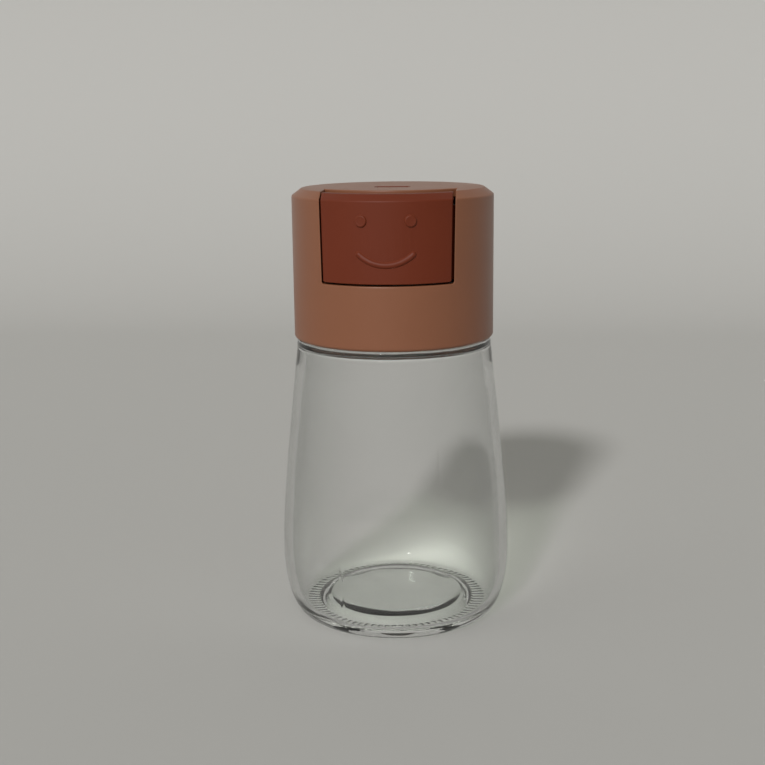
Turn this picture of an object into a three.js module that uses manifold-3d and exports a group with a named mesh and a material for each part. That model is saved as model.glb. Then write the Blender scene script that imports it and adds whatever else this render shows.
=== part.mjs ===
// Push-button spice dispenser: a clear glass jar with a screw-on dosing cap.
// Millimetres, +Z up. The origin is on the floor under the jar's axis, and the button faces -Y.
// The jar is used upside down: spice runs down the hopper into the shuttle's pocket, and pressing
// the button carries the pocket from the hopper's inlet to the outlet slot in the cap's roof.

import * as THREE from 'three';
import { mergeVertices } from 'three/addons/utils/BufferGeometryUtils.js';
import Module from 'manifold-3d';

const wasm = await Module();
wasm.setup();

// Fits
const slideGap = 0.4; // between pieces that slide or turn past each other
const clipGap = 0.3; // between pieces that clip together
const seatGap = 0.1; // between faces that are pressed together
const buttonGap = 0.45; // seen all round the button
const overrun = 1; // how far a cutting shape passes the face that it opens
const sink = 0.5; // how far a joined shape reaches into the piece that carries it

// Glass jar
const footRadius = 26.2;
const footWidth = 3.5;
const puntRadius = 19.2;
const puntDepth = 2.8;
const bellyRadius = 32.7;
const bellyHeight = 18;
const bellyHandle = 18;
const taperHandle = 20.3;
const taperSpread = 1.9;
const shoulderStep = 0.7; // how far the shoulder lies inside the cap's side
const shoulderHeight = 79.3;
const shoulderRound = 1;
const glassWall = 2.4;
const glassFloor = 3.4;
const floorDome = 1.7;
const innerShoulderDrop = 3.6;
const neckWall = 3;
const neckHeight = 15.3;
const neckFillet = 1.2;
const rimRound = 1;

// Two-start right-hand thread of the neck and the collar
const threadStarts = 2;
const threadPitch = 3.75;
const threadHeight = 1.2;
const threadFoot = 2.2;
const threadCrest = 1;
const neckThreadTurns = 0.8;
const neckThreadRise = 4.9;
const collarThreadTurns = 0.5;
const collarThreadDelay = 0.3;
const threadFade = 0.08;

// Mouth gasket
const gasketThickness = 1.3;
const gasketWidth = 3;

// Cap shell
const capRadius = 28;
const capWall = 2;
const capRimRound = 1;
const capLift = 1.2;
const roofThickness = 2.2;
const chamferWidth = 2.7;
const chamferDrop = 2;
const chamberHeight = 22.1;
const windowSill = 0.2;
const windowHalfTop = 17.95;
const windowHalfBottom = 17.53;
const windowCorner = 1.2;
const notchCorner = 0.8;
const stopRibAngles = [-8, 28, 64, 116, 152, 188];
const stopRibWidth = 1.6;
const stopRibDepth = 1.6;
const stopRibHeight = 7;

// Screw collar
const collarDrop = 0.6; // how far the collar shows below the shell
const collarWall = 1.9;
const snapHeight = 1;
const snapDepth = 0.35;
const snapRise = 3.7;
const keyAngles = [45, 135, 225, 315];
const keyWidth = 2.6;
const keyDepth = 0.8;
const keyLength = 8;

// Hopper
const deckThickness = 1.6;
const funnelStep = 3.2; // how far inside the jar's mouth the funnel starts
const funnelWall = 2;
const inletSpread = 0.5;
const channelFloor = 1.6;
const channelWall = 1.6;
const channelWallStart = -4;
const channelWallDrop = 2;
const rearRoom = 6.3; // between the channel and the back of the shell
const supportRib = 1.8;
const postRadius = 1.5;
const postLength = 4;

// Dosing
const pressTravel = 7;
const outletWidth = 10;
const outletLength = 5;
const outletCorner = 0.9;
const pocketDepth = 8.4;
const shuttleHalfWidth = 9;
const shuttleLap = 2;
const shuttleTail = 3.5;
const pocketLip = 1.1;

// Wipers
const wiperMargin = 1.8;
const wiperThickness = 0.8;
const wiperRecess = 0.5;

// Return springs
const springOffset = 5.2;
const springRadius = 2.8;
const springWire = 0.7;
const springCoils = 8;
const springHoleDepth = 4.3;

// Button
const panelInset = 0.2;
const panelThickness = 2.2;
const lipDrop = 0.3;
const lipWidth = 1.9;
const ledgeThickness = 1.6;
const wingReach = 3.4;
const hookWidth = 4.2;
const hookThickness = 1.7;
const hookOverlap = 1.3;
const tongueHalfWidth = 5;
const tongueThickness = 4;
const tongueDrop = 1.2;
const socketWall = 1.6;
const socketEnd = 1.2;
const barbDepth = 0.7;
const barbLength = 1.6;

// Moulded smile
const smileRadius = 10.5;
const smileHalfAngle = 48;
const smileDrop = 18.6;
const smileStroke = 0.8;
const smileSink = 0.3; // how deep the line's middle lies in the panel
const eyeSpacing = 12.9;
const eyeDrop = 7.1;
const eyeRadius = 1.5;
const eyeRelief = 0.5;

// Facets
const turnSteps = 44;
const rodSteps = 14;
const curveSteps = 6;
const cornerSteps = 2;
const coilSteps = 8;
const wireSides = 5;
const strokeSides = 6;
const weldDistance = 1e-4;

// Levels, from the floor up
const threadLead = threadPitch * threadStarts;
const rimLevel = shoulderHeight + neckHeight;
const gasketLevel = rimLevel + seatGap;
const deckLevel = gasketLevel + gasketThickness + seatGap;
const deckTop = deckLevel + deckThickness;
const roofUnderside = deckTop + chamberHeight;
const capTop = roofUnderside + roofThickness;
const capBottom = shoulderHeight + capLift;
const windowBottom = deckTop + windowSill;
const collarBottom = capBottom - collarDrop;
const collarTop = deckLevel - seatGap;
const shuttleTop = roofUnderside - slideGap;
const shuttleBottom = shuttleTop - pocketDepth;
const channelTop = shuttleBottom - clipGap - seatGap - wiperThickness + wiperRecess;
const channelBottom = channelTop - channelFloor;
const ledgeBottom = shuttleTop - ledgeThickness;
const tongueTop = ledgeBottom - clipGap - tongueDrop;
const tongueBottom = tongueTop - tongueThickness;
const springLevel = (shuttleTop + shuttleBottom) / 2;

// Radii
const capBore = capRadius - capWall;
const collarRadius = capBore - clipGap;
const collarBore = collarRadius - collarWall;
const threadRadius = collarBore - slideGap;
const neckRadius = threadRadius - threadHeight;
const neckBore = neckRadius - neckWall;
const shoulderRadius = capRadius - shoulderStep;
const funnelMouth = neckBore - funnelStep;
const panelRadius = capRadius - panelInset;
const panelBore = panelRadius - panelThickness;
const lipBore = capRadius - chamferWidth - lipWidth;
const inletRadius = Math.hypot(outletWidth, outletLength) / 2 + inletSpread;

// Places along the button's travel
const inletY = -pressTravel;
const pocketFront = inletY - outletLength / 2;
const shuttleFront = pocketFront - pressTravel - shuttleLap;
const shuttleRear = outletLength / 2 + shuttleTail;
const tongueTip = socketEnd + clipGap - panelBore;
const ledgeRear = pocketFront - pocketLip;
const springFront = shuttleRear - springHoleDepth;
const channelRear = capBore - rearRoom;
const springLength = channelRear - springFront;
const channelFront = pocketFront - wiperMargin - clipGap - seatGap;
const channelHalfWidth = shuttleHalfWidth + slideGap + channelWall;
const notchCentreY = pressTravel + slideGap;

// A solid from a closed geometry: shared corners are welded and collapsed triangles dropped.
function solidOf(shape) {
  if (!shape.isBufferGeometry) return shape;
  const bare = new THREE.BufferGeometry();
  bare.setAttribute('position', shape.getAttribute('position'));
  bare.setIndex(shape.getIndex());
  const welded = mergeVertices(bare, weldDistance);
  const corners = welded.getIndex().array;
  const kept = [];
  for (let i = 0; i < corners.length; i += 3) {
    const [a, b, c] = [corners[i], corners[i + 1], corners[i + 2]];
    if (a !== b && b !== c && c !== a) kept.push(a, b, c);
  }
  const vertProperties = welded.getAttribute('position').array;
  return new wasm.Manifold(new wasm.Mesh({ numProp: 3, vertProperties, triVerts: new Uint32Array(kept) }));
}

const join = (first, ...rest) => rest.reduce((sum, next) => sum.add(solidOf(next)), solidOf(first));
const cut = (first, ...rest) => rest.reduce((sum, next) => sum.subtract(solidOf(next)), solidOf(first));
const common = (first, ...rest) => rest.reduce((sum, next) => sum.intersect(solidOf(next)), solidOf(first));

// A geometry from a solid, for a mesh.
function geometryOf(shape) {
  const { vertProperties, triVerts } = solidOf(shape).getMesh();
  const geometry = new THREE.BufferGeometry();
  geometry.setAttribute('position', new THREE.BufferAttribute(vertProperties, 3));
  geometry.setIndex(new THREE.BufferAttribute(triVerts, 1));
  geometry.computeVertexNormals();
  return geometry;
}

const point = (r, z) => new THREE.Vector2(r, z);
const radians = THREE.MathUtils.degToRad;

// The points of an outline made of points and of [curve, steps] pairs.
function outline(...stretches) {
  const points = stretches.flatMap((part) => (Array.isArray(part) ? part[0].getPoints(part[1]) : [part]));
  return points.filter((p, i) => i === 0 || p.distanceTo(points[i - 1]) > weldDistance);
}

const arc = (r, z, radius, from, to) => {
  return new THREE.EllipseCurve(r, z, radius, radius, radians(from), radians(to), to < from);
};

// A body turned about the jar's axis, from an outline of (radius, height) points.
const turned = (points) => new THREE.LatheGeometry(points, turnSteps).rotateX(Math.PI / 2);

const tube = (inner, outer, bottom, top) => {
  const corners = [point(inner, bottom), point(outer, bottom), point(outer, top), point(inner, top)];
  return turned([...corners, corners[0]]);
};

const disc = (radius, bottom, top) => {
  return turned([point(0, bottom), point(radius, bottom), point(radius, top), point(0, top)]);
};

function block([x0, x1], [y0, y1], [z0, z1]) {
  const box = new THREE.BoxGeometry(x1 - x0, y1 - y0, z1 - z0);
  return box.translate((x0 + x1) / 2, (y0 + y1) / 2, (z0 + z1) / 2);
}

// A plan outline raised between two levels.
function prism(shape, bottom, top, steps = cornerSteps) {
  const settings = { depth: top - bottom, bevelEnabled: false, curveSegments: steps };
  return new THREE.ExtrudeGeometry(shape, settings).translate(0, 0, bottom);
}

// A round rod from one point to another.
function rod(radius, from, to) {
  const along = new THREE.Vector3().subVectors(to, from);
  const up = THREE.Object3D.DEFAULT_UP;
  const turn = new THREE.Quaternion().setFromUnitVectors(up, along.clone().normalize());
  const middle = new THREE.Vector3().addVectors(from, to).multiplyScalar(1 / 2);
  const geometry = new THREE.CylinderGeometry(radius, radius, along.length(), rodSteps);
  return geometry.applyQuaternion(turn).translate(middle.x, middle.y, middle.z);
}

// A round section with a few sides, swept along a curve.
function wire(curve, radius, sides, steps) {
  const corners = Array.from({ length: sides }, (_, i) => {
    const angle = (2 * Math.PI * i) / sides;
    return new THREE.Vector2(radius * Math.cos(angle), radius * Math.sin(angle));
  });
  const settings = { extrudePath: curve, steps, bevelEnabled: false };
  return new THREE.ExtrudeGeometry(new THREE.Shape(corners), settings);
}

function roundedRectangle(halfX, halfY, corner) {
  const shape = new THREE.Shape();
  shape.absarc(halfX - corner, halfY - corner, corner, 0, Math.PI / 2);
  shape.absarc(corner - halfX, halfY - corner, corner, Math.PI / 2, Math.PI);
  shape.absarc(corner - halfX, corner - halfY, corner, Math.PI, (3 * Math.PI) / 2);
  shape.absarc(halfX - corner, corner - halfY, corner, (3 * Math.PI) / 2, 2 * Math.PI);
  return shape;
}

// The outlet in plan, which the pocket and the hopper's inlet share, and the wiper round it.
const outletOutline = () => roundedRectangle(outletWidth / 2, outletLength / 2, outletCorner);

const wiperOutline = (gap) => {
  const margin = wiperMargin + gap;
  return roundedRectangle(outletWidth / 2 + margin, outletLength / 2 + margin, outletCorner + margin);
};

// A cone whose top circle lies off the jar's axis, over topY.
function slantedCone(bottomRadius, topRadius, topY, bottom, top) {
  const height = top - bottom;
  const cone = new THREE.CylinderGeometry(topRadius, bottomRadius, height, turnSteps).rotateX(Math.PI / 2);
  const lean = new THREE.Matrix4().set(1, 0, 0, 0, 0, 1, topY / height, 0, 0, 0, 1, 0, 0, 0, 0, 1);
  return cone.translate(0, 0, height / 2).applyMatrix4(lean).translate(0, 0, bottom);
}

// One thread ridge: a trapezium carried round a right-hand helix, fading out at both ends.
function threadRidge(rootRadius, crestRadius, startTurn, turns, startLevel) {
  const steps = Math.ceil(turns * turnSteps);
  const foot = rootRadius + Math.sign(rootRadius - crestRadius) * sink;
  const positions = [];
  for (let i = 0; i <= steps; i += 1) {
    const turn = (turns * i) / steps;
    const fade = Math.min(1, turn / threadFade, (turns - turn) / threadFade);
    const crest = THREE.MathUtils.lerp(rootRadius, crestRadius, fade);
    const half = THREE.MathUtils.lerp(threadCrest, threadFoot, 1 / 2 - fade / 2) / 2;
    const level = startLevel + threadLead * turn;
    const angle = 2 * Math.PI * (startTurn + turn);
    const section = [[foot, -threadFoot / 2], [crest, -half], [crest, half], [foot, threadFoot / 2]];
    for (const [r, rise] of section) positions.push(r * Math.cos(angle), r * Math.sin(angle), level + rise);
  }
  const sides = 4;
  const faces = [[0, 1, 2, 3]];
  for (let i = 0; i < steps; i += 1) {
    for (let k = 0; k < sides; k += 1) {
      const [a, b] = [i * sides + k, i * sides + ((k + 1) % sides)];
      faces.push([a, a + sides, b + sides, b]);
    }
  }
  const last = steps * sides;
  faces.push([last + 3, last + 2, last + 1, last]);
  const outward = crestRadius > rootRadius;
  const triangles = faces.flatMap(([a, b, c, d]) => (outward ? [a, b, c, a, c, d] : [a, c, b, a, d, c]));
  const geometry = new THREE.BufferGeometry();
  geometry.setAttribute('position', new THREE.Float32BufferAttribute(positions, 3));
  return geometry.setIndex(triangles);
}

const threadRidges = (rootRadius, crestRadius, delay, turns, startLevel) => {
  return Array.from({ length: threadStarts }, (_, start) => {
    return threadRidge(rootRadius, crestRadius, start / threadStarts + delay, turns, startLevel);
  });
};

function glassJar() {
  const taperTop = shoulderHeight - shoulderRound;
  const taperMiddle = taperTop - taperHandle;
  const innerBelly = bellyRadius - glassWall;
  const innerTop = shoulderHeight - innerShoulderDrop;
  const innerTopRadius = shoulderRadius - glassWall + (taperSpread * (taperTop - innerTop)) / taperHandle;
  const heelWidth = bellyRadius - footRadius;
  const heel = new THREE.EllipseCurve(footRadius, bellyHeight, heelWidth, bellyHeight, -Math.PI / 2, 0);
  const belly = new THREE.CubicBezierCurve(
    point(bellyRadius, bellyHeight),
    point(bellyRadius, bellyHeight + bellyHandle),
    point(shoulderRadius + taperSpread, taperMiddle),
    point(shoulderRadius, taperTop),
  );
  const innerShoulder = new THREE.CubicBezierCurve(
    point(neckBore, shoulderHeight + neckFillet),
    point(neckBore, shoulderHeight - glassWall),
    point(innerTopRadius, shoulderHeight - glassWall),
    point(innerTopRadius, innerTop),
  );
  const innerWall = new THREE.CubicBezierCurve(
    point(innerTopRadius, innerTop),
    point(shoulderRadius + taperSpread - glassWall, taperMiddle),
    point(innerBelly, bellyHeight + bellyHandle),
    point(innerBelly, bellyHeight),
  );
  const innerHeel = new THREE.EllipseCurve(
    footRadius,
    bellyHeight,
    heelWidth - glassWall,
    bellyHeight - glassFloor,
    0,
    -Math.PI / 2,
    true,
  );
  const profile = outline(
    point(0, puntDepth),
    point(puntRadius, puntDepth),
    point(footRadius - footWidth, 0),
    [heel, curveSteps],
    [belly, curveSteps],
    [arc(shoulderRadius - shoulderRound, taperTop, shoulderRound, 0, 90), cornerSteps],
    [arc(neckRadius + neckFillet, shoulderHeight + neckFillet, neckFillet, 270, 180), cornerSteps],
    [arc(neckRadius - rimRound, rimLevel - rimRound, rimRound, 0, 90), cornerSteps],
    [arc(neckBore + rimRound, rimLevel - rimRound, rimRound, 90, 180), cornerSteps],
    [innerShoulder, cornerSteps + 1],
    [innerWall, curveSteps],
    [innerHeel, curveSteps],
    point(footRadius - footWidth, glassFloor),
    point(puntRadius, glassFloor + floorDome),
    point(0, glassFloor + floorDome),
  );
  const thread = threadRidges(neckRadius, threadRadius, 0, neckThreadTurns, shoulderHeight + neckThreadRise);
  return join(turned(profile), ...thread);
}

function mouthGasket() {
  return tube(neckBore, neckBore + gasketWidth, gasketLevel, gasketLevel + gasketThickness);
}

// The keys that turn the collar with the shell, or the longer slots that take them.
function driveKeys(gap) {
  const keyTop = collarTop - snapHeight;
  return keyAngles.map((angle) => {
    const across = [-keyWidth / 2 - gap, keyWidth / 2 + gap];
    const bottom = gap > 0 ? capBottom - overrun : keyTop - keyLength;
    const reach = [collarRadius - sink, collarRadius + keyDepth + gap];
    return block(reach, across, [bottom, keyTop + gap]).rotateZ(radians(angle));
  });
}

function screwCollar() {
  const snapLevel = collarBottom + snapRise;
  const body = turned([
    point(collarBore, collarBottom),
    point(collarRadius, collarBottom),
    point(collarRadius, snapLevel - snapHeight / 2 - snapDepth),
    point(collarRadius + clipGap + snapDepth, snapLevel - snapHeight / 2),
    point(collarRadius + clipGap + snapDepth, snapLevel + snapHeight / 2),
    point(collarRadius, snapLevel + snapHeight / 2),
    point(collarRadius, collarTop),
    point(collarBore, collarTop),
    point(collarBore, collarBottom),
  ]);
  const startLevel = shoulderHeight + neckThreadRise - threadPitch / 2 + threadLead * collarThreadDelay;
  const crest = collarBore - threadHeight;
  const thread = threadRidges(collarBore, crest, collarThreadDelay, collarThreadTurns, startLevel);
  return join(body, ...thread, ...driveKeys(0));
}

function hopper() {
  const across = [-channelHalfWidth, channelHalfWidth];
  const rearFace = channelRear + channelWall;
  const wallTop = shuttleTop - channelWallDrop;
  const wallInside = shuttleHalfWidth + slideGap;
  const walls = [-1, 1].map((side) => {
    const ends = [side * wallInside, side * channelHalfWidth].sort((a, b) => a - b);
    return block(ends, [channelWallStart, rearFace], [channelBottom, wallTop]);
  });
  const posts = [-1, 1].map((side) => {
    const at = (y) => new THREE.Vector3(side * springOffset, y, springLevel);
    return rod(postRadius, at(channelRear + sink), at(channelRear - postLength));
  });
  const body = join(
    disc(collarRadius, deckLevel, deckTop),
    slantedCone(funnelMouth + funnelWall, inletRadius + funnelWall, inletY, deckLevel, channelBottom + sink),
    block(across, [channelFront, rearFace], [channelBottom, channelTop]),
    block(across, [channelRear, rearFace], [channelBottom, wallTop]),
    block([-supportRib / 2, supportRib / 2], [0, rearFace], [deckTop - sink, channelBottom + sink]),
    ...walls,
    ...posts,
  );
  const throat = slantedCone(funnelMouth, inletRadius, inletY, deckLevel, channelBottom + sink);
  return cut(
    body,
    throat,
    disc(funnelMouth, deckLevel - overrun, deckLevel + seatGap),
    prism(outletOutline(), channelBottom - overrun, channelTop + overrun).translate(0, inletY, 0),
    prism(wiperOutline(seatGap), channelTop - wiperRecess, channelTop + overrun).translate(0, inletY, 0),
  );
}

// A flat silicone frame of the outlet's size, between two levels.
function wiper(centreY, bottom) {
  const rim = wiperOutline(0);
  rim.holes.push(outletOutline());
  return prism(rim, bottom, bottom + wiperThickness).translate(0, centreY, 0);
}

const inletWiper = () => wiper(inletY, channelTop - wiperRecess + seatGap);
const outletWiper = () => wiper(0, roofUnderside - seatGap);

// The cap's outside, with its chamfered roof and rounded lower rim, drawn in by an inset.
function capOutside(inset) {
  const radius = capRadius - inset;
  return turned(outline(
    point(0, capBottom),
    [arc(radius - capRimRound, capBottom + capRimRound, capRimRound, 270, 360), cornerSteps],
    point(radius, capTop - chamferDrop),
    point(radius - chamferWidth, capTop),
    point(0, capTop),
  ));
}

// The front window seen from the button's side, drawn in all round by an inset and open at the top.
function windowOpening(inset) {
  const [top, bottom] = [capTop + overrun, windowBottom + inset];
  const [halfTop, halfBottom] = [windowHalfTop - inset, windowHalfBottom - inset];
  const shape = new THREE.Shape();
  shape.moveTo(-halfTop, top);
  shape.lineTo(-halfBottom, bottom + windowCorner);
  shape.quadraticCurveTo(-halfBottom, bottom, windowCorner - halfBottom, bottom);
  shape.lineTo(halfBottom - windowCorner, bottom);
  shape.quadraticCurveTo(halfBottom, bottom, halfBottom, bottom + windowCorner);
  shape.lineTo(halfTop, top);
  return prism(shape, 0, capRadius + overrun).rotateX(Math.PI / 2);
}

// Plan of the space in front of the roof's edge: an arc like the button's lip, with round corners.
function notchPlan(halfWidth, centreY) {
  const [x, reach] = [halfWidth - notchCorner, lipBore + notchCorner];
  const y = centreY - Math.sqrt(reach * reach - x * x);
  const front = -capRadius - overrun;
  const lean = Math.atan2(centreY - y, x);
  const shape = new THREE.Shape();
  shape.moveTo(-halfWidth, front);
  shape.lineTo(halfWidth, front);
  shape.absarc(x, y, notchCorner, 0, Math.PI - lean);
  shape.absarc(0, centreY, lipBore, -lean, lean - Math.PI, true);
  shape.absarc(-x, y, notchCorner, lean, Math.PI);
  return shape;
}

function capShell() {
  const snapLevel = collarBottom + snapRise;
  const cavity = turned([
    point(0, capBottom - overrun),
    point(capBore, capBottom - overrun),
    point(capBore, snapLevel - snapHeight / 2 - snapDepth - seatGap),
    point(capBore + snapDepth + clipGap, snapLevel - snapHeight / 2 - seatGap),
    point(capBore + snapDepth + clipGap, snapLevel + snapHeight / 2 + clipGap),
    point(capBore, snapLevel + snapHeight / 2 + clipGap),
    point(capBore, roofUnderside),
    point(0, roofUnderside),
  ]);
  const stopRibs = stopRibAngles.map((angle) => {
    const bottom = deckTop + seatGap;
    const reach = [capBore - stopRibDepth, capBore + sink];
    const across = [-stopRibWidth / 2, stopRibWidth / 2];
    return block(reach, across, [bottom, bottom + stopRibHeight]).rotateZ(radians(angle));
  });
  const notch = notchPlan(windowHalfTop + overrun, notchCentreY);
  const opening = common(
    windowOpening(0),
    prism(notch, windowBottom - overrun, capTop + 2 * overrun, curveSteps),
  );
  const hollow = cut(capOutside(0), cavity, opening, ...driveKeys(clipGap));
  const wiperTop = roofUnderside - seatGap + wiperThickness;
  return cut(
    join(hollow, ...stopRibs),
    prism(outletOutline(), roofUnderside - overrun, capTop + overrun),
    prism(wiperOutline(seatGap), roofUnderside - overrun, wiperTop + seatGap),
  );
}

// The smile's line: an arc drawn on the front and laid on the panel's face.
class SmileLine extends THREE.Curve {
  getPoint(t, target = new THREE.Vector3()) {
    const angle = radians(smileHalfAngle) * (2 * t - 1);
    const x = smileRadius * Math.sin(angle);
    const z = capTop - smileDrop + smileRadius * (1 - Math.cos(angle));
    const depth = panelRadius - smileSink;
    return target.set(x, -Math.sqrt(depth * depth - x * x), z);
  }
}

function mouldedSmile() {
  const eyes = [-1, 1].map((side) => {
    const angle = Math.asin(eyeSpacing / 2 / panelRadius);
    const at = (r) => new THREE.Vector3(side * r * Math.sin(angle), -r * Math.cos(angle), capTop - eyeDrop);
    return rod(eyeRadius, at(panelRadius - sink), at(panelRadius + eyeRelief));
  });
  return [wire(new SmileLine(), smileStroke, strokeSides, 2 * coilSteps), ...eyes];
}

function pressButton() {
  const bottom = windowBottom + buttonGap;
  const lipTop = capTop - lipDrop;
  const halfWidth = windowHalfTop - buttonGap;
  const face = common(capOutside(panelInset), windowOpening(buttonGap));
  const panel = cut(face, disc(panelBore, bottom - overrun, capTop + overrun));
  const lip = common(
    cut(face, disc(capRadius, bottom - overrun, ledgeBottom)),
    prism(notchPlan(halfWidth, 0), ledgeBottom - overrun, lipTop, curveSteps),
  );
  const ledge = common(
    disc(panelBore + sink, ledgeBottom, shuttleTop),
    join(
      block([-halfWidth, halfWidth], [-capRadius, ledgeRear], [ledgeBottom, shuttleTop]),
      ...[-1, 1].map((side) => {
        const ends = [side * (shuttleHalfWidth + slideGap), side * halfWidth].sort((a, b) => a - b);
        return block(ends, [-capRadius, ledgeRear + wingReach], [ledgeBottom, shuttleTop]);
      }),
    ),
  );
  const hookRing = tube(collarRadius - hookThickness, collarRadius, bottom, ledgeBottom + sink);
  const hooks = [-1, 1].map((side) => {
    const outer = windowHalfTop + hookOverlap;
    const ends = [side * (outer - hookWidth), side * outer].sort((a, b) => a - b);
    return common(hookRing, block(ends, [-capRadius, 0], [bottom, ledgeBottom + sink]));
  });
  const socketHalf = tongueHalfWidth + clipGap + socketWall;
  const socketBottom = tongueBottom - clipGap - socketWall;
  const socketFront = -panelBore - sink;
  const socketRear = shuttleFront - clipGap;
  const socket = cut(
    block([-socketHalf, socketHalf], [socketFront, socketRear], [socketBottom, ledgeBottom + sink]),
    block(
      [-tongueHalfWidth - clipGap, tongueHalfWidth + clipGap],
      [tongueTip - clipGap, socketRear + overrun],
      [tongueBottom - clipGap, tongueTop + clipGap],
    ),
    block(
      [-socketHalf - overrun, socketHalf + overrun],
      [tongueTip - clipGap, tongueTip + barbLength + clipGap],
      [tongueBottom - clipGap, tongueTop + clipGap],
    ),
  );
  const trimmed = common(panel, disc(capRadius, bottom - overrun, lipTop));
  return join(trimmed, lip, ledge, ...hooks, socket, ...mouldedSmile());
}

function meteringShuttle() {
  const tongueLevels = [tongueBottom, tongueTop];
  const across = [-shuttleHalfWidth, shuttleHalfWidth];
  const barbHalf = tongueHalfWidth + clipGap + barbDepth;
  const body = join(
    block(across, [shuttleFront, shuttleRear], [shuttleBottom, ledgeBottom - clipGap]),
    block(across, [ledgeRear + clipGap, shuttleRear], [shuttleBottom, shuttleTop]),
    block([-tongueHalfWidth, tongueHalfWidth], [tongueTip, shuttleFront + sink], tongueLevels),
    block([-barbHalf, barbHalf], [tongueTip, tongueTip + barbLength], tongueLevels),
  );
  const springHoles = [-1, 1].map((side) => {
    const at = (y) => new THREE.Vector3(side * springOffset, y, springLevel);
    return rod(springRadius + slideGap, at(springFront), at(shuttleRear + overrun));
  });
  return cut(
    body,
    prism(outletOutline(), shuttleBottom - overrun, shuttleTop + overrun).translate(0, inletY, 0),
    ...springHoles,
  );
}

// A spring's middle line, from the shuttle's hole to the hopper's rear wall. Its ends lie along +Y.
class SpringLine extends THREE.Curve {
  constructor(x) {
    super();
    this.x = x;
  }

  getPoint(t, target = new THREE.Vector3()) {
    const radius = springRadius - springWire / 2;
    const margin = springWire / 2 + seatGap;
    const angle = 2 * Math.PI * springCoils * t;
    const y = springFront + margin + (springLength - 2 * margin) * t;
    return target.set(this.x + radius * Math.cos(angle), y, springLevel + radius * Math.sin(angle));
  }
}

// The least gap between neighbouring coils, on points half a turn or more apart.
function coilGap(curve) {
  const points = curve.getPoints(springCoils * coilSteps);
  let least = Infinity;
  points.forEach((p, i) => {
    for (const q of points.slice(i + coilSteps / 2)) least = Math.min(least, p.distanceTo(q));
  });
  return least - springWire;
}

function returnSpring(side) {
  const line = new SpringLine(side * springOffset);
  console.log(`return spring: least gap between coils ${coilGap(line).toFixed(2)} mm`);
  return wire(line, springWire / 2, wireSides, springCoils * coilSteps);
}

const clearGlass = { color: 0xdfe5e0, roughness: 0.05, metalness: 0, transparent: true, opacity: 0.35 };
const pinkPlastic = { color: 0x9a6a50, roughness: 0.55, metalness: 0 };
const rustPlastic = { color: 0x70392a, roughness: 0.5, metalness: 0 };
const whitePlastic = { color: 0xe6e2da, roughness: 0.5, metalness: 0 };
const clearSilicone = { color: 0xd8d6cf, roughness: 0.7, metalness: 0 };
const springSteel = { color: 0xb9bcc0, roughness: 0.3, metalness: 1 };

const dispenser = new THREE.Group();
dispenser.name = 'spice_dispenser';

function addPiece(name, shape, finish) {
  const mesh = new THREE.Mesh(geometryOf(shape), new THREE.MeshStandardMaterial(finish));
  mesh.name = name;
  dispenser.add(mesh);
}

addPiece('glass_jar', glassJar(), clearGlass);
addPiece('mouth_gasket', mouthGasket(), clearSilicone);
addPiece('screw_collar', screwCollar(), whitePlastic);
addPiece('hopper', hopper(), whitePlastic);
addPiece('inlet_wiper', inletWiper(), clearSilicone);
addPiece('outlet_wiper', outletWiper(), clearSilicone);
addPiece('cap_shell', capShell(), pinkPlastic);
addPiece('press_button', pressButton(), rustPlastic);
addPiece('metering_shuttle', meteringShuttle(), whitePlastic);
addPiece('return_spring_left', returnSpring(-1), springSteel);
addPiece('return_spring_right', returnSpring(1), springSteel);

export default dispenser;
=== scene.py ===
import math

import bmesh
import bpy
from mathutils import Matrix, Vector, noise
from mathutils.geometry import interpolate_bezier


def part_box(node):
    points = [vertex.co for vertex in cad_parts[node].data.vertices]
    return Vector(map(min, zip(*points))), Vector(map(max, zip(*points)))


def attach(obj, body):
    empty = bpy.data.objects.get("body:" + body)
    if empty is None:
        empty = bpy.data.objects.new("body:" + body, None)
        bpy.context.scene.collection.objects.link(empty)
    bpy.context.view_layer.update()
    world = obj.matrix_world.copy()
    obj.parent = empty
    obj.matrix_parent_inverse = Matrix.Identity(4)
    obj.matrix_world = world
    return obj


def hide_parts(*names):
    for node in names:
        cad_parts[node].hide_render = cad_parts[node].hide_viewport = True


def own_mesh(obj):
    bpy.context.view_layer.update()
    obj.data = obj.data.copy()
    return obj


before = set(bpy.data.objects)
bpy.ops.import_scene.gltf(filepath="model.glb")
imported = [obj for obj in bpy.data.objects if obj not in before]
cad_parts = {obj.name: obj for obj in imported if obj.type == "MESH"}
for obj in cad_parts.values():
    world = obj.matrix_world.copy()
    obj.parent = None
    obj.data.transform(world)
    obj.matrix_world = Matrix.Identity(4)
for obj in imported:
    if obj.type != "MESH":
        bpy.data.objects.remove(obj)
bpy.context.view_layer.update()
scene = bpy.context.scene
mm = 0.001  # sizes are written in millimetres and become metres when a mesh is made
weld = 0.003  # points closer than this become one
near = 0.01  # sizes closer than this count as the same
over = 1  # how far a cutter runs past the face that it cuts
flatWithin = 0.2  # faces that turn by fewer degrees than this become one
roundFrom = 25  # edges that turn by more degrees than this can be rounded
frontAngle = 270  # where arc() points to the front
print("frame loaded,", len(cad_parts), "nodes")


def boxOf(node):  # lowest and highest corner of a CAD node, in millimetres
    low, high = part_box(node)
    return low / mm, high / mm


def middleOf(node):
    low, high = boxOf(node)
    return (low + high) / 2


def arc(x, y, radius, start, end, steps):  # points on a circle between two angles in degrees
    angles = [math.radians(start + (end - start) * i / steps) for i in range(steps + 1)]
    return [(x + radius * math.cos(a), y + radius * math.sin(a)) for a in angles]


def circle(x, y, radius, sides):
    return arc(x, y, radius, 0, 360, sides)[:-1]


def bezier(start, startHandle, endHandle, end, steps):
    return [tuple(p) for p in interpolate_bezier(start, startHandle, endHandle, end, steps + 1)]


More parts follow.
